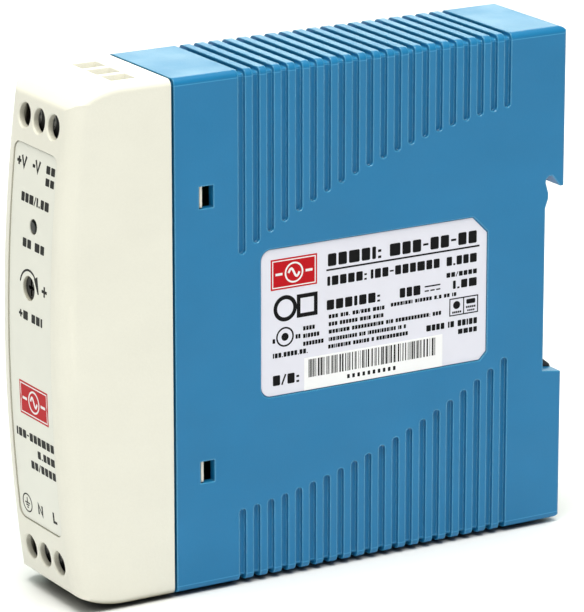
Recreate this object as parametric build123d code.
"""DIN rail power supply, 22.5 mm wide, built as an assembly of separate pieces.

Frame: +Z up, X across the slim width, Y from the terminal face (-Y) to the rail side (+Y).
The origin is at the bottom centre of the whole. All lengths are in millimetres.
"""

from math import atan2, cos, degrees, hypot, radians, sin, sqrt
import os

from build123d import *

# ---------------------------------------------------------------- casing
WIDTH = 22.5
DEPTH = 100.0
HEIGHT = 90.0
HALF = WIDTH / 2
FRONT = -DEPTH / 2
REAR = DEPTH / 2
WALL = 1.6
EDGE_RADIUS = 1.15

SEAM = -28.2
SEAM_GAP = 0.5
RIM_STEP = 0.8
JOIN_GAP = 0.02
CORNER_REAR = 0.5
CORNER_SIDE = 1.3

# front cover outline: a wide arc in front, a rounded nose above and below
FACE_RADIUS = 306.0
FACE_MIDDLE = 44.44
NOSE_START = -38.0
NOSE_TOP_RADIUS = 14.0
NOSE_BOTTOM_RADIUS = 17.0
FACE_EDGE_RADIUS = 3.1

# decorative grooves, which are also the cooling slots above and below
GROOVES = 20
GROOVE_PITCH = 2.793
GROOVE_FIRST = -15.26
GROOVE_WIDTH = 1.35
GROOVE_DEPTH = 0.75
GROOVE_SHORT = 13.0
GROOVE_SLOPE = 0.333
GROOVE_CURVE = 0.0345
GROOVE_OVERRUN = 2.0
VENT_HALF = 8.6

# snap windows in the side walls, and the cover's hooks that catch in them
WINDOW_Y = (-23.55, -20.75)
WINDOW_Z = ((67.15, 71.05), (18.95, 22.85))
HOOK_CLEAR = 0.1
HOOK_THICK = 1.2
HOOK_ROOT = 3.0
BARB_BACKLASH = 0.3
BARB_FLAT = 0.5
BARB_LENGTH = 0.85
BARB_REACH = 1.3
TONGUE_HALF = 5.0
TONGUE_THICK = 1.2
TONGUE_REACH = 2.2

# recess for the 35 mm top-hat rail
RECESS_Y = 46.0
RECESS_LOW = 28.05
RECESS_LEAD = 0.6
HOOK_TIP = 61.5
LIP_RADIUS = 0.35
CAVITY_REAR = 43.4
UPPER_POCKET = 66.0

# spring latch that slides down to free the rail
LATCH_HALF = 8.0
FLANGE_HALF = 9.3
SLOT_FLOOR = 45.2
SLOT_STEP = 47.2
SLIDE_GAP = 0.1
LATCH_BOTTOM = 0.8
LATCH_TOP = 29.2
SPRING_LOW = 11.5
SPRING_HIGH = 24.0
SPRING_RADIUS = 1.3
SPRING_WIRE = 0.35
SPRING_TURNS = 7
SPRING_Y = 47.3
LEDGE_THICK = 2.0
PEG_RADIUS = 0.85

# ---------------------------------------------------------------- labels
LABEL_DEPTH = 0.32
LABEL_THICK = 0.12
LABEL_MARGIN = 0.15
LABEL_TRIM = -0.02
RATING_Y = (-11.5, 34.0)
RATING_Z = (32.2, 58.15)
RATING_CORNER = 1.9
RATING_CHAMFER = 3.0
RATING_CHAMFER_LOW = 1.4
SERIAL_Y = (-3.0, 25.0)
SERIAL_TOP = 38.0
SERIAL_THICK = 0.06
FRONT_LABEL_HALF = 7.5
FRONT_LABEL_Z = (12.4, 78.3)
FRONT_LABEL_CORNER = 1.6

# ---------------------------------------------------------------- terminals
POLES = 3
POLE_PITCH = 5.08
OUTPUT_Z = 83.0
INPUT_Z = 7.16
ACCESS_RADIUS = 2.1
ACCESS_CHAMFER = 0.25
ACCESS_WALL = 1.15
ACCESS_POCKET = (7.4, 2.6)
WIRE_SLOT_Y = (-37.6, -33.0)
WIRE_SLOT_HALF = 1.9
FUNNEL_DEPTH = 1.1
FUNNEL_INSET = 0.6

BLOCK_HALF = 7.62
BLOCK_FRONT = -45.3
BLOCK_REAR = -30.6
BLOCK_OUTWARD = 3.0
BLOCK_INWARD = 4.2
SCREW_HEAD_RADIUS = 1.9
SCREW_HEAD_TOP = -45.0
SCREW_HEAD_UNDER = -43.4
SHANK_RADIUS = 1.2
SHANK_END = -38.6
NUT_RADIUS = 1.25
CAGE_TOP = -39.8
CAGE_NUT = 1.15
CAGE_FLOOR = -33.4
CAGE_BASE = 1.0
CAGE_HALF = 2.1
CAGE_SIDE = 0.5
CAGE_DEPTH = 2.5
BAR_TOP = -38.5
BAR_THICK = 0.8
BAR_HALF = 1.5
SHAFT_GAP = 0.06

# ---------------------------------------------------------------- boards
FRONT_BOARD_Y = (-30.6, -29.0)
FRONT_BOARD_HALF = 8.1
FRONT_BOARD_Z = (3.6, 86.2)
BOARD_X = (-8.2, -6.6)
BOARD_Y = (-28.9, 42.6)
BOARD_Z = (2.4, 87.6)
BOARD_HOLES = ((-22, 30), (38, 44), (-22, 62))
BOARD_HOLE_RADIUS = 1.5
ISOLATION_SLOT = ((-6.5, 9.5), (36.6, 38.0))
DECK = BOARD_X[1]
PIN_PITCH = 2.54

# openings for the lamp and the voltage trimmer
LED_X = 0.5
LED_Z = 65.2
LED_HOLE = 1.28
LED_RADIUS = 1.2
LED_TIP = -49.2
LED_ROUNDING = 0.45
LED_RIM = (-43.4, -42.6)
LED_RIM_RADIUS = 1.85
LED_LEG_HALF = 0.22
TRIM_X = -0.5
TRIM_Z = 54.4
TRIM_HOLE = 2.1
TRIM_HALF = 3.25
TRIM_TOP = -35.1
ROTOR_RADIUS = 1.6
ROTOR_GAP = 0.05
SHAFT_RADIUS = 1.9
SHAFT_FRONT = -49.1
SHAFT_SHOULDER = -35.6

# main board parts: places are (Y, Z)
FUSE = (-18.5, 11.5)
FILM_CAPACITOR = ((DECK, DECK + 11.5), (-13.5, -0.5), (18.8, 24.8))
CHOKE = (8.6, 14.5)
BRIDGE = (20.6, 10.5)
BULK_CAPACITOR = (33.0, 6.0, 32.0)
TRANSFORMER = (-2.0, 47.0)
CORE_X = (DECK + 4.9, DECK + 10.9)
DEVICE_Y = (14.4, 18.9)
DEVICE_TAB = (9.0, 15.4)
DEVICE_HOLE = (DECK + 8.0, 12.2)
SNUBBER = (DECK + 2.4, 28.6)
INDUCTOR = (8.0, 72.0)
LEAD_RADIUS = 0.35


# ---------------------------------------------------------------- helpers
def block(x, y, z):
    """A box that fills three (low, high) spans."""
    centre = (sum(x) / 2, sum(y) / 2, sum(z) / 2)
    return Pos(*centre) * Box(x[1] - x[0], y[1] - y[0], z[1] - z[0])


def around(middle, half):
    """The span that reaches half to each side of middle."""
    return (middle - half, middle + half)


def rod(radius, start, end):
    """A cylinder from one point to another."""
    path = Vector(*end) - Vector(*start)
    plane = Plane(origin=start, z_dir=path)
    return plane * Cylinder(radius, path.length, align=(Align.CENTER, Align.CENTER, Align.MIN))


def side_plate(face, half=HALF):
    """A face drawn in (Y, Z), made as thick as the span from -half to half on X."""
    return extrude(Plane.YZ * face, amount=half, both=True)


def front_plate(face, y):
    """A face drawn in (X, Z), made into a solid that fills the span y."""
    plane = Plane(origin=(0, y[0], 0), x_dir=(1, 0, 0), z_dir=(0, -1, 0))
    return extrude(plane * face, amount=y[0] - y[1])


def outline(*points):
    """A closed face through a list of points."""
    return make_face(Polyline(*points, close=True))


def rounded(width, height, radius, centre=(0, 0)):
    """A rectangle with round corners."""
    return Pos(*centre) * RectangleRounded(width, height, radius)


def ring(outer, inner, start, end):
    """A tube from one point to another."""
    return rod(outer, start, end) - rod(inner, start, end)


# ---------------------------------------------------------------- front cover
def meet(face_radius, nose_centre_z, nose_radius, side):
    """Where the face's arc crosses a nose's arc; side is 1 above and -1 below."""
    face_y = FRONT + FACE_RADIUS
    dy = face_y - NOSE_START
    dz = FACE_MIDDLE - nose_centre_z
    gap = hypot(dy, dz)
    along = (nose_radius**2 - face_radius**2 + gap**2) / (2 * gap)
    across = sqrt(nose_radius**2 - along**2)
    foot = (NOSE_START + along * dy / gap, nose_centre_z + along * dz / gap)
    turn = (-dz / gap * across, dy / gap * across)
    return (foot[0] + side * turn[0], foot[1] + side * turn[1])


def cover_face(inset, rear):
    """Side outline of the front cover, drawn in (Y, Z) and drawn in by inset."""
    face = FACE_RADIUS - inset
    top = NOSE_TOP_RADIUS - inset
    low = NOSE_BOTTOM_RADIUS - inset
    top_z = HEIGHT - NOSE_TOP_RADIUS
    low_z = NOSE_BOTTOM_RADIUS
    high = meet(face, top_z, top, 1)
    base = meet(face, low_z, low, -1)
    face_centre = FRONT + FACE_RADIUS

    def on_arc(centre, radius, start, end):
        first = atan2(start[1] - centre[1], start[0] - centre[0])
        last = atan2(end[1] - centre[1], end[0] - centre[0])
        if last - first > 3.2:
            first += radians(360)
        if first - last > 3.2:
            last += radians(360)
        half = (first + last) / 2
        middle = (centre[0] + radius * cos(half), centre[1] + radius * sin(half))
        return ThreePointArc(start, middle, end)

    edges = [
        Line((rear, inset), (NOSE_START, inset)),
        on_arc((NOSE_START, low_z), low, (NOSE_START, inset), base),
        on_arc((face_centre, FACE_MIDDLE), face, base, high),
        on_arc((NOSE_START, top_z), top, high, (NOSE_START, HEIGHT - inset)),
        Line((NOSE_START, HEIGHT - inset), (rear, HEIGHT - inset)),
        Line((rear, HEIGHT - inset), (rear, inset)),
    ]
    return make_face(edges)


def rim_edges(form, rear):
    """The edges round the top and the bottom of the cover, without those at the seam."""
    rims = []
    for edge in form.edges():
        box = edge.bounding_box()
        level = box.max.Z < HEIGHT / 8 or box.min.Z > HEIGHT * 7 / 8
        if level and box.size.Z < 5 and box.min.Y < rear - 0.01:
            rims.append(edge)
    return rims


def cover_form(inset, rear):
    """The cover's solid shape, drawn in by inset on every side but the rear."""
    rimmed = side_plate(cover_face(inset, rear), HALF - inset)
    rimmed = fillet(rim_edges(rimmed, rear), max(EDGE_RADIUS - inset / 2, 0.3))
    arc = Pos(FRONT + FACE_RADIUS, FACE_MIDDLE) * Circle(FACE_RADIUS - inset)
    span = (FRONT - 1, rear + 1)
    strip = Pos(sum(span) / 2, HEIGHT / 2) * Rectangle(span[1] - span[0], HEIGHT + 10)
    bowed = side_plate(arc & strip, HALF - inset)
    upright = [e for e in bowed.edges() if e.length > HEIGHT and e.center().Y < NOSE_START]
    bowed = fillet(upright, max(FACE_EDGE_RADIUS - inset, 1.2))
    return rimmed & bowed


def pole_places():
    """X of each terminal."""
    return [(i - (POLES - 1) / 2) * POLE_PITCH for i in range(POLES)]


def face_y(z, inset=0.0):
    """Y of the cover's front face at height z."""
    reach = FACE_RADIUS - inset
    return FRONT + FACE_RADIUS - sqrt(reach**2 - (z - FACE_MIDDLE) ** 2)


def label_block(margin):
    """The front label's outline as a deep block, larger by margin all round."""
    low, high = FRONT_LABEL_Z
    face = rounded(
        2 * (FRONT_LABEL_HALF + margin),
        high - low + 2 * margin,
        FRONT_LABEL_CORNER + margin,
        (0, (low + high) / 2),
    )
    return front_plate(face, (FRONT - 1, FRONT + 6))


def face_layer(shallow, deep):
    """A thin curved sheet under the front face, between two depths."""
    face_centre = FRONT + FACE_RADIUS
    arc = Pos(face_centre, FACE_MIDDLE) * (Circle(FACE_RADIUS - shallow) - Circle(FACE_RADIUS - deep))
    strip = Pos(FRONT + 5, HEIGHT / 2) * Rectangle(12, HEIGHT)
    return side_plate(arc & strip)


def bored(part, x, z, radius, chamfered=True):
    """Cuts one access hole through the front wall, with a small chamfer square to its mouth."""
    mouth = face_y(z)
    part -= rod(radius, (x, mouth - 2, z), (x, mouth + 5, z))
    if chamfered:
        inward = Vector(0, FRONT + FACE_RADIUS - mouth, FACE_MIDDLE - z).normalized()
        start = Vector(x, mouth, z) - inward * ACCESS_CHAMFER
        wide = radius + 2 * ACCESS_CHAMFER
        depth = 3 * ACCESS_CHAMFER
        cone = Cone(wide, wide - depth, depth, align=(Align.CENTER, Align.CENTER, Align.MIN))
        part -= Plane(origin=start, z_dir=inward) * cone
    return part


def wire_funnel(x, surface, inward):
    """A wire slot that narrows from the surface; inward is -1 from above and 1 from below."""
    middle = sum(WIRE_SLOT_Y) / 2
    wide = (2 * WIRE_SLOT_HALF, WIRE_SLOT_Y[1] - WIRE_SLOT_Y[0])
    mouth = Plane(origin=(x, middle, surface), x_dir=(1, 0, 0), z_dir=(0, 0, inward))
    angle = degrees(atan2(FUNNEL_INSET, FUNNEL_DEPTH))
    funnel = extrude(mouth * Rectangle(*wide), amount=FUNNEL_DEPTH, taper=angle)
    span = (WIRE_SLOT_Y[0] + FUNNEL_INSET, WIRE_SLOT_Y[1] - FUNNEL_INSET)
    depth = sorted((surface - inward, surface + inward * (WALL + 1.2)))
    return funnel + block(around(x, WIRE_SLOT_HALF - FUNNEL_INSET), span, depth)


def cover_hook(side, z):
    """One snap arm on the cover, with its barb in the housing's window."""
    outer = HALF - WALL - HOOK_CLEAR
    inner = outer - HOOK_THICK
    z_span = (z[0] + 0.15, z[1] - 0.1)
    root = SEAM - HOOK_ROOT
    barb_start = WINDOW_Y[0] + BARB_BACKLASH
    end = barb_start + BARB_LENGTH
    arm = outline(
        (inner, root),
        (HALF - WALL + 0.2, root),
        (HALF - WALL + 0.2, SEAM - SEAM_GAP - 0.2),
        (outer, SEAM - SEAM_GAP - 0.2),
        (outer, barb_start),
        (outer + BARB_REACH, barb_start),
        (outer + BARB_REACH, barb_start + BARB_FLAT),
        (outer, end),
        (inner, end),
    )
    hook = extrude(Plane.XY.offset(z_span[0]) * arm, amount=z_span[1] - z_span[0])
    return hook if side > 0 else mirror(hook, Plane.YZ)


def cover_tongue(z_inner, side):
    """A tongue that guides the cover inside the housing's top or bottom wall."""
    wide = around(0, TONGUE_HALF)
    under = z_inner - side * TONGUE_THICK
    root = sorted((z_inner + side * 0.2, under))
    tip = sorted((z_inner - side * 0.1, under))
    tongue = block(wide, (SEAM - HOOK_ROOT, SEAM - SEAM_GAP - 0.2), root)
    return tongue + block(wide, (SEAM - SEAM_GAP - 0.3, SEAM + TONGUE_REACH), tip)


def front_cover():
    rear = SEAM - SEAM_GAP - JOIN_GAP
    shell = cover_form(0, rear)
    shell -= cover_form(WALL, rear + 1)
    for z in (OUTPUT_Z, INPUT_Z):
        pocket = block(around(0, ACCESS_POCKET[0]), (FRONT, NOSE_START), around(z, ACCESS_POCKET[1]))
        shell -= face_layer(ACCESS_WALL, WALL + 0.1) & pocket
        for x in pole_places():
            shell = bored(shell, x, z, ACCESS_RADIUS)
    shell -= face_layer(-1, LABEL_DEPTH) & label_block(LABEL_MARGIN)
    shell = bored(shell, LED_X, LED_Z, LED_HOLE, chamfered=False)
    shell = bored(shell, TRIM_X, TRIM_Z, TRIM_HOLE, chamfered=False)
    for x in pole_places():
        shell -= wire_funnel(x, HEIGHT, -1)
        shell -= wire_funnel(x, 0, 1)
    for side in (-1, 1):
        for z in WINDOW_Z:
            shell += cover_hook(side, z)
    shell += cover_tongue(HEIGHT - WALL, 1)
    shell += cover_tongue(WALL, -1)
    return shell


# ---------------------------------------------------------------- rear housing
def housing_face():
    """Side outline of the housing, drawn in (Y, Z), with the rail recess."""
    recess = Polyline(
        (REAR, RECESS_LOW - RECESS_LEAD),
        (RECESS_Y, RECESS_LOW),
        (RECESS_Y, 57.8),
        (RECESS_Y + 0.6, 59.5),
        (RECESS_Y + 0.6, 60.5),
        (RECESS_Y + 0.05, 62.4),
        (RECESS_Y + 0.1, 63.0),
        (RECESS_Y + 0.7, 63.55),
        (RECESS_Y + 1.5, 63.55),
        (REAR - 0.9, HOOK_TIP),
        (REAR, HOOK_TIP),
    )
    body = Polyline(
        (REAR, HOOK_TIP),
        (REAR, HEIGHT),
        (SEAM, HEIGHT),
        (SEAM, 0),
        (REAR, 0),
        (REAR, RECESS_LOW - RECESS_LEAD),
    )
    face = make_face([recess, body])
    corners = [v for v in face.vertices() if v.X > REAR - 0.1 and (v.Y < 1 or v.Y > HEIGHT - 1)]
    face = fillet(corners, CORNER_SIDE)
    lips = [v for v in face.vertices() if v.X > REAR - 0.1 and 20 < v.Y < 70]
    return fillet(lips, LIP_RADIUS)


def rounded_bar(inset, start, end):
    """A bar along Y with the casing's cross-section, drawn in by inset."""
    face = rounded(WIDTH - 2 * inset, HEIGHT - 2 * inset, max(EDGE_RADIUS - inset, 0.3), (0, HEIGHT / 2))
    return front_plate(face, (start, end))


def groove_length(step):
    """Length of the groove that stands a number of steps from the short end."""
    return GROOVE_SHORT + GROOVE_SLOPE * step + GROOVE_CURVE * step**2


def groove_tool():
    """Every groove as one tool; it bites only as deep as a groove."""
    slots = []
    for i in range(GROOVES):
        y = GROOVE_FIRST + i * GROOVE_PITCH
        for length, up in ((groove_length(GROOVES - 1 - i), True), (groove_length(i), False)):
            tall = length + GROOVE_OVERRUN
            middle = HEIGHT + GROOVE_OVERRUN - tall / 2 if up else tall / 2 - GROOVE_OVERRUN
            slots.append(Pos(y, middle) * RectangleRounded(GROOVE_WIDTH, tall, GROOVE_WIDTH / 2 - 0.005))
    sheet = Sketch() + slots
    return side_plate(sheet, HALF + 1) - rounded_bar(GROOVE_DEPTH, SEAM, REAR + 1)


def rating_face(margin):
    """Outline of the side label in (Y, Z), larger by margin all round."""
    y0, y1 = RATING_Y[0] - margin, RATING_Y[1] + margin
    z0, z1 = RATING_Z[0] - margin, RATING_Z[1] + margin
    cut = RATING_CHAMFER
    low = RATING_CHAMFER_LOW
    face = outline((y0, z0), (y1 - low, z0), (y1, z0 + low), (y1, z1 - cut), (y1 - cut, z1), (y0, z1))
    front = [v for v in face.vertices() if v.X < y0 + 0.01]
    return fillet(front, RATING_CORNER)


def label_solid(face, outside, thick):
    """A thin plate on the +X side, whose outer face is at outside."""
    return extrude(Plane.YZ.offset(outside - thick) * face, amount=thick)


def latch_slot():
    """The T-shaped channel that the rail latch slides in, open below and behind."""
    top = RECESS_LOW + 2
    wide = block(around(0, FLANGE_HALF + SLIDE_GAP), (SLOT_FLOOR, SLOT_STEP), (-1, top))
    mouth = block(around(0, LATCH_HALF + SLIDE_GAP), (SLOT_FLOOR, REAR + 1), (-1, top))
    return wide + mouth


def board_guides():
    """Ribs that hold the main board's top and bottom edges."""
    low = (WALL - 0.1, 3.4)
    high = (HEIGHT - 3.4, HEIGHT - WALL + 0.1)
    deck_side = (BOARD_X[1] + 0.1, BOARD_X[1] + 1.1)
    wall_side = (-(HALF - WALL) - 0.1, BOARD_X[0] - 0.1)
    ribs = []
    for x, start in ((deck_side, SEAM + 3), (wall_side, SEAM + 8)):
        ribs += [block(x, (start, CAVITY_REAR + 0.1), z) for z in (low, high)]
    return Part() + ribs


def rear_housing():
    body = side_plate(housing_face()) & rounded_bar(0, SEAM, REAR)
    plan = Pos(0, (SEAM + REAR) / 2 - 5) * RectangleRounded(WIDTH, REAR - SEAM + 10, CORNER_REAR)
    body &= extrude(plan, amount=HEIGHT)
    rim_inset = WALL - RIM_STEP
    body += rounded_bar(rim_inset, SEAM - SEAM_GAP, SEAM + 1)
    body -= groove_tool()

    inner = (-(HALF - WALL), HALF - WALL)
    body -= block(inner, (SEAM - 2, CAVITY_REAR), (WALL, HEIGHT - WALL))
    body -= block(inner, (CAVITY_REAR - 1, REAR - WALL), (UPPER_POCKET, HEIGHT - WALL))
    body += board_guides()

    openings = [block((-HALF - 1, HALF + 1), WINDOW_Y, z) for z in WINDOW_Z]
    for i in range(GROOVES):
        y = around(GROOVE_FIRST + i * GROOVE_PITCH, GROOVE_WIDTH / 2)
        for z in ((HEIGHT - WALL, HEIGHT + 1), (-1, WALL)):
            openings.append(block(around(0, VENT_HALF), y, z))
    body -= openings

    body -= latch_slot()
    ledge = block(around(0, 2.0), (SLOT_FLOOR - 0.2, 49.0), (SPRING_LOW - LEDGE_THICK, SPRING_LOW))
    peg = rod(PEG_RADIUS, (0, SPRING_Y, SPRING_LOW - 0.5), (0, SPRING_Y, SPRING_LOW + 2.0))
    body += ledge + peg
    body -= label_solid(rating_face(LABEL_MARGIN), HALF + 1, 1 + LABEL_DEPTH)
    return body


def rail_latch():
    """Sliding latch: a T-section bar with a nose above and a screwdriver eye below."""
    gap = SLIDE_GAP
    low = LATCH_BOTTOM
    shoulder = RECESS_LOW - 0.65
    flange = block(around(0, FLANGE_HALF), (SLOT_FLOOR + gap, SLOT_STEP - gap), (low, shoulder - 1.0))
    rib = block(around(0, LATCH_HALF), (SLOT_STEP - gap, REAR - gap), (low, shoulder))
    nose_face = outline(
        (SLOT_STEP, shoulder),
        (SLOT_STEP, LATCH_TOP),
        (SLOT_STEP + 0.9, LATCH_TOP),
        (REAR - 0.5, LATCH_TOP - 1.1),
        (REAR - gap, shoulder),
    )
    latch = flange + rib + side_plate(nose_face, LATCH_HALF)
    window = (SPRING_LOW - LEDGE_THICK - gap, SPRING_HIGH)
    latch -= block(around(0, 2.3), (SLOT_FLOOR, REAR + 1), window)
    latch -= block(around(0, 2.5), (SLOT_FLOOR, REAR + 1), (2.4, 4.0))
    for z in (5.6, 6.8):
        latch -= block(around(0, 4.5), (REAR - 0.5, REAR + 1), (z, z + 0.6))
    sides = [e for e in latch.edges().filter_by(Axis.Z) if abs(e.center().X) > LATCH_HALF - 0.1]
    outer = [e for e in sides if e.center().Y > REAR - 0.5]
    return fillet(outer, 0.3)


def coil(radius, wire, low, high, turns, centre):
    """A round-wire coil spring that stands on Z between two levels."""
    height = high - low - 2 * wire
    path = Helix(pitch=height / turns, height=height, radius=radius)
    section = Plane(origin=path @ 0, z_dir=path % 0) * Circle(wire / 2)
    return Pos(centre[0], centre[1], low + wire) * sweep(section, path=path)


# ---------------------------------------------------------------- terminals
def terminal_block(z, out):
    """Housing of one three-pole block; out is 1 where the wires enter from above, else -1."""
    span = sorted((z - out * BLOCK_INWARD, z + out * BLOCK_OUTWARD))
    body = block(around(0, BLOCK_HALF), (BLOCK_FRONT, BLOCK_REAR), span)
    edges = [e for e in body.edges().filter_by(Axis.X) if e.center().Y < BLOCK_FRONT + 0.1]
    body = chamfer(edges, 0.5)
    for x in pole_places():
        body -= rod(SCREW_HEAD_RADIUS + 0.1, (x, BLOCK_FRONT - 1, z), (x, SCREW_HEAD_UNDER, z))
        body -= rod(SHANK_RADIUS + 0.15, (x, SCREW_HEAD_UNDER - 0.1, z), (x, SHANK_END, z))
        shaft = (SCREW_HEAD_UNDER + 0.05, CAGE_FLOOR + CAGE_BASE + 0.2)
        body -= block(around(x, CAGE_HALF + SHAFT_GAP), shaft, around(z, CAGE_DEPTH + 0.1))
        slot = (BAR_TOP + BAR_THICK + 0.05, CAGE_FLOOR - 0.05)
        body -= block(around(x, 1.8), slot, sorted((z, z + out * (BLOCK_OUTWARD + 1))))
        tail = sorted((z - out * (CAGE_DEPTH - 0.1), z - out * (CAGE_DEPTH + 1.1)))
        body -= block(around(x, BAR_HALF + 0.1), (BAR_TOP - 0.1, BLOCK_REAR + 1), tail)
    return body


def contacts(z, out):
    """Three fixed contact bars, each with a tail down to the front board."""
    bars = []
    for x in pole_places():
        flat = sorted((z - out * (CAGE_DEPTH + 1.0), z + out * (CAGE_DEPTH - 0.3)))
        bar = block(around(x, BAR_HALF), (BAR_TOP, BAR_TOP + BAR_THICK), flat)
        tail = sorted((z - out * (CAGE_DEPTH + 0.2), z - out * (CAGE_DEPTH + 1.0)))
        bar += block(around(x, 0.9), (BAR_TOP, BLOCK_REAR), tail)
        bars.append(bar)
    return Compound(children=bars)


def terminal_screw(x, z):
    """Captive clamp screw with a crossed slot."""
    head = rod(SCREW_HEAD_RADIUS, (x, SCREW_HEAD_TOP, z), (x, SCREW_HEAD_UNDER, z))
    rim = [e for e in head.edges() if e.center().Y < SCREW_HEAD_TOP + 0.1]
    head = fillet(rim, 0.35)
    shank = rod(SHANK_RADIUS, (x, SCREW_HEAD_UNDER, z), (x, SHANK_END, z))
    screw = head + shank
    depth = (SCREW_HEAD_TOP - 1, SCREW_HEAD_TOP + 0.8)
    screw -= block(around(x, 0.3), depth, around(z, 2.2))
    screw -= block(around(x, 1.15), depth, around(z, 0.3))
    return screw


def clamp_cage(x, z):
    """Rising cage: nut wall in front, two thin sides and a floor that lifts the wire."""
    top = CAGE_TOP
    base = CAGE_FLOOR + CAGE_BASE
    cage = block(around(x, CAGE_HALF), (top, base), around(z, CAGE_DEPTH))
    hollow = (top + CAGE_NUT, CAGE_FLOOR)
    cage -= block(around(x, CAGE_HALF - CAGE_SIDE), hollow, around(z, CAGE_DEPTH + 1))
    cage -= rod(NUT_RADIUS, (x, top - 1, z), (x, top + CAGE_NUT + 0.1, z))
    return cage


# ---------------------------------------------------------------- boards and front parts
def front_board():
    return block(around(0, FRONT_BOARD_HALF), FRONT_BOARD_Y, FRONT_BOARD_Z)


def main_board():
    board = block(BOARD_X, BOARD_Y, BOARD_Z)
    through = (BOARD_X[0] - 1, BOARD_X[1] + 1)
    for y, z in BOARD_HOLES:
        board -= rod(BOARD_HOLE_RADIUS, (through[0], y, z), (through[1], y, z))
    board -= block(through, *ISOLATION_SLOT)
    return board


def board_link(z, pins):
    """Right-angle header that joins the two boards, with a row of bent pins."""
    half = pins * PIN_PITCH / 2
    link = block((DECK, DECK + 2.5), (-27.6, -25.1), around(z, half))
    for i in range(pins):
        pin_z = z - half + PIN_PITCH * (i + 0.5)
        link += block(around(DECK + 1.25, 0.32), (FRONT_BOARD_Y[1], -24.0), around(pin_z, 0.32))
        link += block((DECK, DECK + 1.57), (-24.3, -23.66), around(pin_z, 0.32))
    return link


def led_spacer():
    end = (LED_X, FRONT_BOARD_Y[0], LED_Z)
    start = (LED_X, LED_RIM[1], LED_Z)
    return ring(2.1, 1.1, start, end)


def status_led():
    """A long lens that reaches through the cover, on a rim with two legs."""
    rim = rod(LED_RIM_RADIUS, (LED_X, LED_RIM[0], LED_Z), (LED_X, LED_RIM[1], LED_Z))
    lens = rod(LED_RADIUS, (LED_X, LED_TIP, LED_Z), (LED_X, LED_RIM[0], LED_Z))
    tip = [e for e in lens.edges() if e.center().Y < LED_TIP + 0.1]
    led = rim + fillet(tip, LED_ROUNDING)
    legs_y = (LED_RIM[1] - 0.1, FRONT_BOARD_Y[0])
    for z in (LED_Z - 0.6, LED_Z + 0.6):
        led += block(around(LED_X, LED_LEG_HALF), legs_y, around(z, LED_LEG_HALF))
    return led


def trimmer_body():
    box = block(around(TRIM_X, TRIM_HALF), (TRIM_TOP, FRONT_BOARD_Y[0]), around(TRIM_Z, TRIM_HALF))
    box = fillet(box.edges().filter_by(Axis.Y), 0.5)
    top, floor = (TRIM_X, TRIM_TOP - 1, TRIM_Z), (TRIM_X, TRIM_TOP + 2.4, TRIM_Z)
    return box - rod(ROTOR_RADIUS + ROTOR_GAP, top, floor)


def trimmer_rotor():
    """The rotor with its long shaft, which ends in a screwdriver slot just behind the label."""
    shoulder = (TRIM_X, SHAFT_SHOULDER, TRIM_Z)
    rotor = rod(ROTOR_RADIUS, shoulder, (TRIM_X, TRIM_TOP + 2.3, TRIM_Z))
    rotor += rod(SHAFT_RADIUS, (TRIM_X, SHAFT_FRONT, TRIM_Z), shoulder)
    depth = (SHAFT_FRONT - 1, SHAFT_FRONT + 0.9)
    rotor -= block(around(TRIM_X, 0.35), depth, around(TRIM_Z, 1.5))
    rotor -= block(around(TRIM_X, 1.0), depth, around(TRIM_Z, 0.35))
    return rotor


# ---------------------------------------------------------------- parts on the main board
def legs(places, rise):
    """Thin round leads that stand on the board."""
    pins = [rod(LEAD_RADIUS, (DECK, y, z), (DECK + rise, y, z)) for y, z in places]
    return Part() + pins


def disc_part(y, z, radius, thick, rise):
    """A dipped disc on two leads, standing upright with its flat faces on Z."""
    x = DECK + rise + radius
    disc = rod(radius, (x, y, z - thick / 2), (x, y, z + thick / 2))
    disc = fillet(disc.edges().filter_by(GeomType.CIRCLE), thick * 0.4)
    return disc + legs([(y - 2.5, z), (y + 2.5, z)], rise + radius * 0.6)


def can_standing(y, z, radius, tall):
    """An electrolytic capacitor that stands on the board, with its rolled groove and vent cross."""
    can = rod(radius, (DECK, y, z), (DECK + tall, y, z))
    can = fillet(can.edges().filter_by(GeomType.CIRCLE), 0.6)
    neck = ring(radius + 1, radius - 0.45, (DECK + 1.8, y, z), (DECK + 2.5, y, z))
    can -= neck
    cut = (DECK + tall - 0.25, DECK + tall + 1)
    can -= block(cut, around(y, radius * 0.6), around(z, 0.25))
    can -= block(cut, around(y, 0.25), around(z, radius * 0.6))
    return can


def bulk_capacitor():
    """The large reservoir can, which lies on the board."""
    x, radius = DECK + 7.4, 7.2
    y, low, high = BULK_CAPACITOR
    can = rod(radius, (x, y, low), (x, y, high))
    can = fillet(can.edges().filter_by(GeomType.CIRCLE), 0.7)
    can -= ring(radius + 1, radius - 0.5, (x, y, low + 2.0), (x, y, low + 2.8))
    can -= block(around(x, 4.0), around(y, 0.3), (high - 0.25, high + 1))
    can -= block(around(x, 0.3), around(y, 4.0), (high - 0.25, high + 1))
    for lead in (y - 3.75, y + 3.75):
        can += rod(0.4, (x, lead, low + 0.5), (x, lead, low - 1.8))
        can += rod(0.4, (x + 0.3, lead, low - 1.6), (DECK, lead, low - 1.6))
    return can


def fuse():
    body = rod(4.2, (DECK, *FUSE), (DECK + 8.0, *FUSE))
    body = fillet(body.edges().filter_by(GeomType.CIRCLE), 0.5)
    return body


def film_capacitor():
    return fillet(block(*FILM_CAPACITOR).edges(), 0.4)


def choke_core():
    y, z = CHOKE
    core = ring(6.6, 4.2, (DECK + 1.6, y, z), (DECK + 6.6, y, z))
    return fillet(core.edges().filter_by(GeomType.CIRCLE), 0.6)


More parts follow.
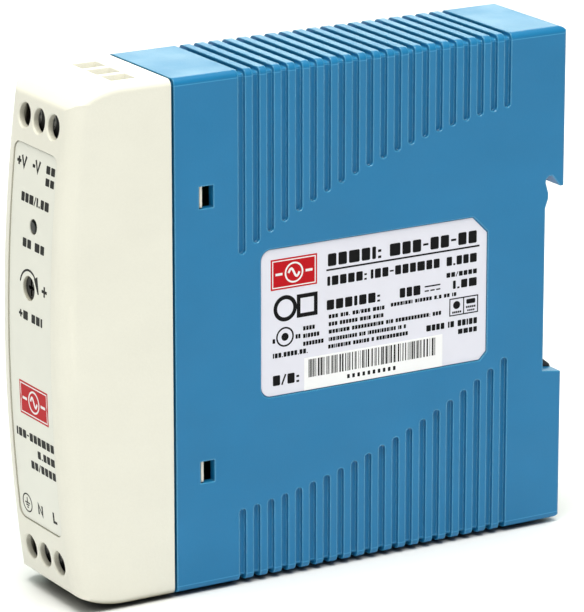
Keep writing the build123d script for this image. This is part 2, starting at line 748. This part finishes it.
def choke_winding():
    """Two windings on the ring core, one on each half."""
    y, z = CHOKE
    halves = []
    solid_core = ring(6.62, 4.18, (DECK + 1.58, y, z), (DECK + 6.62, y, z))
    for side in (-1, 1):
        around_core = ring(7.5, 3.3, (DECK + 0.6, y, z), (DECK + 7.6, y, z))
        around_core = fillet(around_core.edges().filter_by(GeomType.CIRCLE), 0.7)
        half = around_core & block((DECK, DECK + 9), (y - 9, y + 9), sorted((z + side * 1.4, z + side * 9)))
        halves.append(half - solid_core)
    return Compound(children=[s for half in halves for s in half.solids()])


def bridge_rectifier():
    y, z = BRIDGE
    body = block((DECK + 0.6, DECK + 4.0), around(y, 4.2), around(z, 3.2))
    body = chamfer(body.faces().sort_by(Axis.X)[-1].edges(), 0.4)
    for side in (-1, 1):
        leg_z = z + side * 3.6
        for leg_y in (y - PIN_PITCH, y + PIN_PITCH):
            body += block((DECK, DECK + 2.2), around(leg_y, 0.4), around(leg_z, 0.2))
            body += block((DECK + 1.8, DECK + 2.2), around(leg_y, 0.4), sorted((leg_z, leg_z - side * 0.8)))
    return body


def transformer_core():
    """Two ferrite E halves, joined as one closed frame with a middle leg."""
    y, z = TRANSFORMER
    frame = block(CORE_X, around(y, 10.0), around(z, 10.0))
    for side in (-1, 1):
        window = sorted((y + side * 2.6, y + side * 7.6))
        frame -= block((CORE_X[0] - 1, CORE_X[1] + 1), window, around(z, 7.2))
    return frame


def transformer_bobbin():
    y, z = TRANSFORMER
    tube = block((CORE_X[0] - 0.7, CORE_X[1] + 0.7), around(y, 3.4), around(z, 7.1))
    flanges = []
    for side in (-1, 1):
        span = sorted((z + side * 6.2, z + side * 7.1))
        flanges.append(block((DECK + 1.9, DECK + 14.6), around(y, 7.5), span))
        rail = sorted((z + side * 6.2, z + side * 10.6))
        flanges.append(block((DECK + 1.2, CORE_X[0] - 0.1), around(y, 9.4), rail))
    bobbin = tube + flanges
    bobbin -= block((CORE_X[0] - 0.05, CORE_X[1] + 0.05), around(y, 2.65), around(z, 12))
    pins = []
    for side in (-1, 1):
        for i in range(5):
            pin_y = y + (i - 2) * 4.0
            pins.append(rod(LEAD_RADIUS, (DECK, pin_y, z + side * 9.4), (DECK + 1.4, pin_y, z + side * 9.4)))
    return bobbin + pins


def transformer_winding():
    """The wound and taped coil between the bobbin's flanges."""
    y, z = TRANSFORMER
    coil_form = block((DECK + 2.6, DECK + 13.6), around(y, 7.2), around(z, 6.1))
    coil_form = fillet(coil_form.edges().filter_by(Axis.Z), 2.0)
    return coil_form - block((CORE_X[0] - 0.75, CORE_X[1] + 0.75), around(y, 3.45), around(z, 9))


def power_device(z):
    """A tabbed power device that lies against its heatsink, with bent leads to the board."""
    x = (DECK + 3.0, DECK + 13.0)
    shoulder = z + DEVICE_TAB[0]
    hole_x, hole_z = DEVICE_HOLE[0], z + DEVICE_HOLE[1]
    body = block(x, DEVICE_Y, (z, shoulder))
    body = chamfer(body.faces().sort_by(Axis.Y)[0].edges(), 0.5)
    tab = block(x, (DEVICE_Y[1] - 1.3, DEVICE_Y[1]), (shoulder, z + DEVICE_TAB[1]))
    tab -= rod(1.8, (hole_x, 10, hole_z), (hole_x, 25, hole_z))
    part = body + tab
    for i in range(3):
        pin_x = DECK + 5.46 + PIN_PITCH * i
        drop = z - 1.3 - 0.9 * i
        part += block(around(pin_x, 0.4), around(16.2, 0.25), (drop, z + 0.1))
        part += block((DECK, pin_x + 0.4), around(16.2, 0.25), (drop - 0.25, drop + 0.25))
    return part


def heatsink(z):
    """A bent aluminium plate beside a power device."""
    tall = (z - 2.0, z + 16.6)
    thick = (19.0, 20.6)
    hole_x, hole_z = DEVICE_HOLE[0], z + DEVICE_HOLE[1]
    plate = block((DECK + 0.3, DECK + 15.4), thick, tall)
    shelf = block((DECK + 13.8, DECK + 15.4), (thick[0], 25.4), tall)
    sink = plate + shelf
    for i in range(4):
        rib_z = z + 1.0 + i * 4.4
        sink += block((DECK + 2.0, DECK + 13.9), (20.5, 22.4), (rib_z, rib_z + 1.2))
    sink -= rod(1.3, (hole_x, 10, hole_z), (hole_x, 30, hole_z))
    for leg in (z, z + 12.6):
        sink += block((DECK, DECK + 0.4), thick, (leg, leg + 2.0))
    return sink


def heatsink_screw(z):
    x, at = DEVICE_HOLE[0], z + DEVICE_HOLE[1]
    head = rod(2.6, (x, 15.5, at), (x, 17.5, at))
    head = fillet(head.edges().filter_by(GeomType.CIRCLE).sort_by(Axis.Y)[0], 0.6)
    screw = head + rod(1.25, (x, 17.5, at), (x, 21.8, at))
    screw -= block(around(x, 0.3), (15, 16.3), around(at, 1.6))
    screw -= block(around(x, 1.6), (15, 16.3), around(at, 0.3))
    return screw


def chip(y, z, wide, long, pins, thick):
    """A moulded chip with gull-wing leads on two sides."""
    body = block((DECK + 0.3, DECK + 0.3 + thick), around(y, wide / 2), around(z, long / 2))
    body = chamfer(body.faces().sort_by(Axis.X)[-1].edges(), 0.25)
    pitch = long / pins
    for i in range(pins):
        pin_z = around(z - long / 2 + pitch * (i + 0.5), 0.2)
        for side in (-1, 1):
            outside = sorted((y + side * (wide / 2 - 0.1), y + side * (wide / 2 + 1.2)))
            foot = sorted((y + side * (wide / 2 + 0.7), y + side * (wide / 2 + 1.2)))
            body += block((DECK + 0.6, DECK + 0.9), outside, pin_z)
            body += block((DECK, DECK + 0.9), foot, pin_z)
    return body


def snubber_resistor():
    x, z = SNUBBER
    body = rod(1.6, (x, -1.0, z), (x, 8.0, z))
    body += rod(1.95, (x, -1.2, z), (x, 1.0, z)) + rod(1.95, (x, 6.0, z), (x, 8.2, z))
    for y, tip in ((-1.2, -3.2), (8.2, 10.2)):
        body += rod(LEAD_RADIUS, (x, y, z), (x, tip, z))
        body += rod(LEAD_RADIUS, (x + 0.3, tip, z), (DECK, tip, z))
    return body


def inductor_core():
    y, z = INDUCTOR
    low = rod(4.4, (DECK, y, z), (DECK + 1.6, y, z))
    middle = rod(2.3, (DECK + 1.6, y, z), (DECK + 10.4, y, z))
    return low + middle + rod(4.4, (DECK + 10.4, y, z), (DECK + 12.0, y, z))


def inductor_winding():
    y, z = INDUCTOR
    coil_form = ring(4.1, 2.32, (DECK + 1.7, y, z), (DECK + 10.3, y, z))
    for i in range(7):
        x = DECK + 2.4 + i * 1.2
        coil_form -= ring(5, 3.95, (x, y, z), (x + 0.25, y, z))
    return coil_form


def insulation_sheet():
    return block((-9.45, -9.2), (-18, 42), (5, 85))


# ---------------------------------------------------------------- labels
def rating_label():
    return label_solid(rating_face(LABEL_TRIM), HALF - LABEL_DEPTH + LABEL_THICK, LABEL_THICK)


def serial_label():
    outside = HALF - LABEL_DEPTH + LABEL_THICK + SERIAL_THICK
    low = RATING_Z[0] - LABEL_TRIM
    start, end = SERIAL_Y
    face = outline((start, low), (end, low), (end, SERIAL_TOP), (start, SERIAL_TOP))
    return label_solid(face, outside, SERIAL_THICK)


def front_label():
    sheet = face_layer(LABEL_DEPTH - LABEL_THICK, LABEL_DEPTH) & label_block(LABEL_TRIM)
    for x, z, radius in ((LED_X, LED_Z, LED_HOLE), (TRIM_X, TRIM_Z, TRIM_HOLE)):
        sheet -= rod(radius + 0.05, (x, FRONT - 2, z), (x, FRONT + 5, z))
    return sheet


# ---------------------------------------------------------------- assembly
def build():
    """Every piece by its node name."""
    nodes = {
        "rear_housing": rear_housing(),
        "front_cover": front_cover(),
        "front_label": front_label(),
        "rating_label": rating_label(),
        "serial_label": serial_label(),
        "rail_latch": rail_latch(),
        "rail_latch_spring": coil(
            SPRING_RADIUS, SPRING_WIRE, SPRING_LOW, SPRING_HIGH, SPRING_TURNS, (0, SPRING_Y)
        ),
        "front_board": front_board(),
        "main_board": main_board(),
        "insulation_sheet": insulation_sheet(),
        "input_board_link": board_link(12.0, 3),
        "output_board_link": board_link(72.0, 5),
        "led_spacer": led_spacer(),
        "status_led": status_led(),
        "trimmer_body": trimmer_body(),
        "trimmer_rotor": trimmer_rotor(),
        "fuse": fuse(),
        "inrush_thermistor": disc_part(-18.4, 22.5, 4.4, 3.6, 1.5),
        "varistor": disc_part(-7.0, 11.0, 5.0, 3.8, 1.5),
        "film_capacitor": film_capacitor(),
        "choke_core": choke_core(),
        "choke_winding": choke_winding(),
        "bridge_rectifier": bridge_rectifier(),
        "bulk_capacitor": bulk_capacitor(),
        "transformer_core": transformer_core(),
        "transformer_bobbin": transformer_bobbin(),
        "transformer_winding": transformer_winding(),
        "controller_chip": chip(-17.0, 35.5, 4.0, 5.0, 4, 1.6),
        "optocoupler": chip(-17.5, 46.0, 6.4, 4.6, 2, 3.4),
        "y_capacitor": disc_part(-17.5, 56.5, 4.0, 3.4, 1.5),
        "snubber_resistor": snubber_resistor(),
        "snubber_capacitor": disc_part(17.5, 28.0, 3.4, 2.8, 1.2),
        "inductor_core": inductor_core(),
        "inductor_winding": inductor_winding(),
        "output_capacitor_1": can_standing(32.5, 57.0, 6.2, 15.0),
        "output_capacitor_2": can_standing(32.5, 72.5, 6.2, 15.0),
        "filter_capacitor": can_standing(-12.5, 72.0, 4.2, 12.5),
    }
    for side, z in (("primary", 37.0), ("output", 62.0)):
        nodes[f"{side}_power_device"] = power_device(z)
        nodes[f"{side}_heatsink"] = heatsink(z)
        nodes[f"{side}_heatsink_screw"] = heatsink_screw(z)
    for side, z, out in (("output", OUTPUT_Z, 1), ("input", INPUT_Z, -1)):
        nodes[f"{side}_terminal_block"] = terminal_block(z, out)
        nodes[f"{side}_contacts"] = contacts(z, out)
        for i, x in enumerate(pole_places(), start=1):
            nodes[f"{side}_screw_{i}"] = terminal_screw(x, z)
            nodes[f"{side}_cage_{i}"] = clamp_cage(x, z)
    return nodes


def main():
    os.makedirs("parts", exist_ok=True)
    for name, piece in build().items():
        piece.label = name
        export_step(piece, f"parts/{name}.step")


main()
